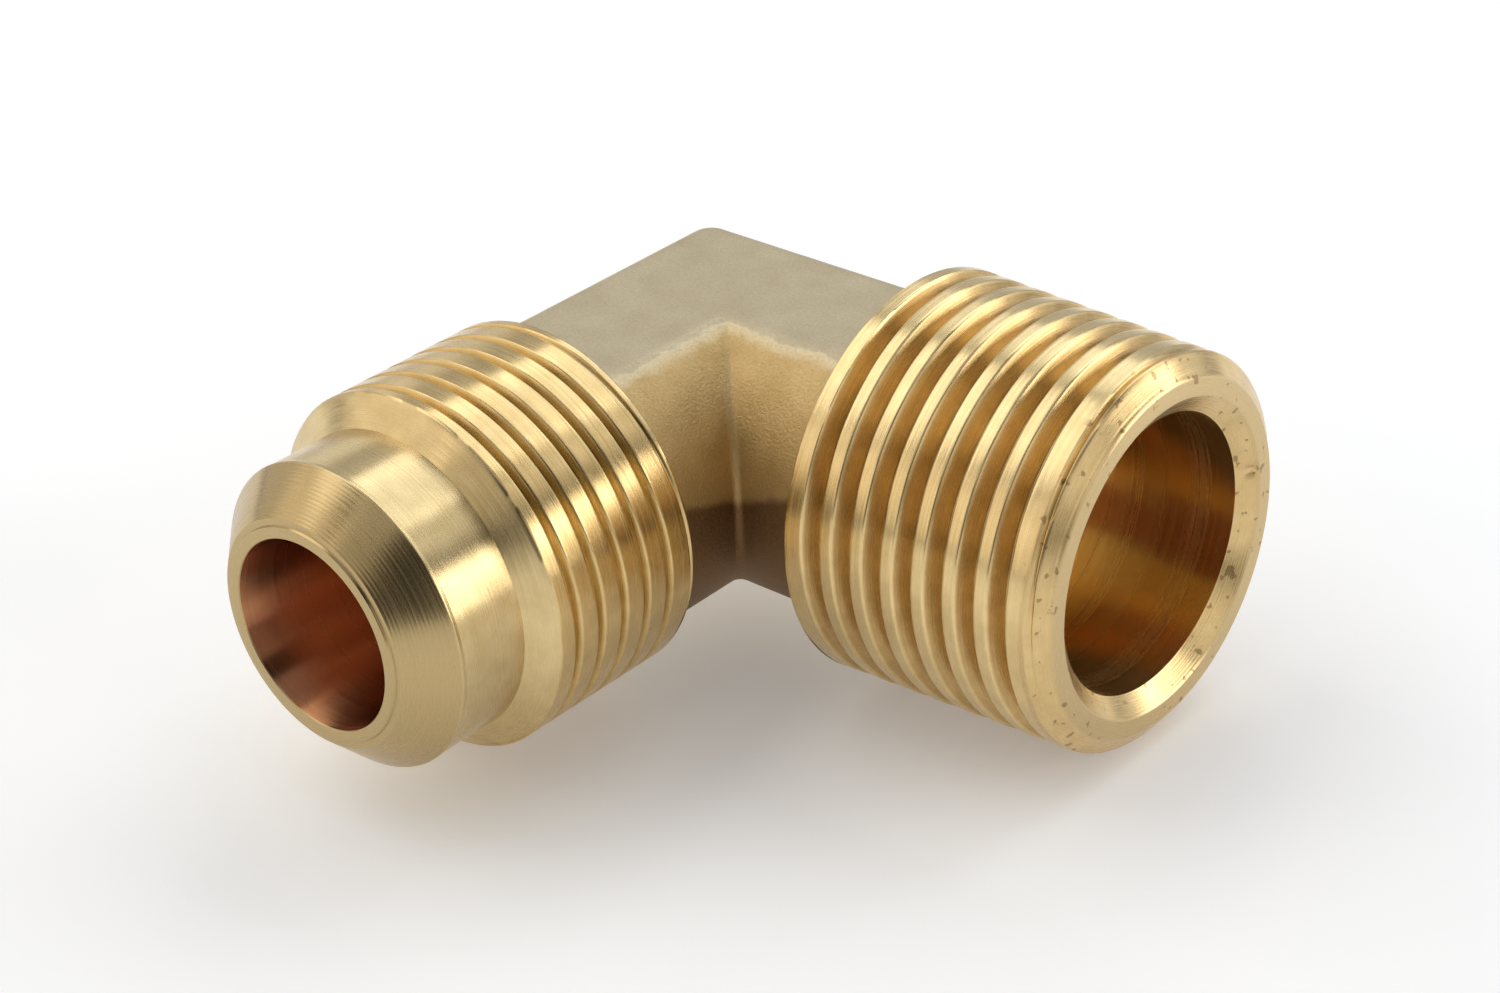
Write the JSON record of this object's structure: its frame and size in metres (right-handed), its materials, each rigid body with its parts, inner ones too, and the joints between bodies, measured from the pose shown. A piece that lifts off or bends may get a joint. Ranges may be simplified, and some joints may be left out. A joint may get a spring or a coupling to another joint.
{
  "type": "flare fitting",
  "caption": "One-piece brass 90 degree elbow with a 45 degree flare end on a straight thread and a tapered male pipe thread end.",
  "frame": {"origin": "where the axis of the flare end crosses the axis of the pipe end, at the middle of the forged corner", "axes": "-Y points out of the flare end, +X points out of the pipe end, +Z is the outward normal of the upper wrench flat"},
  "size_m": [0.0378, 0.0401, 0.0212],
  "materials": {
    "brass": "forged body with a matt sandy skin, bright machined ends"
  },
  "bodies": {
    "root": {"elbow_body": "brass"}
  },
  "joints": []
}
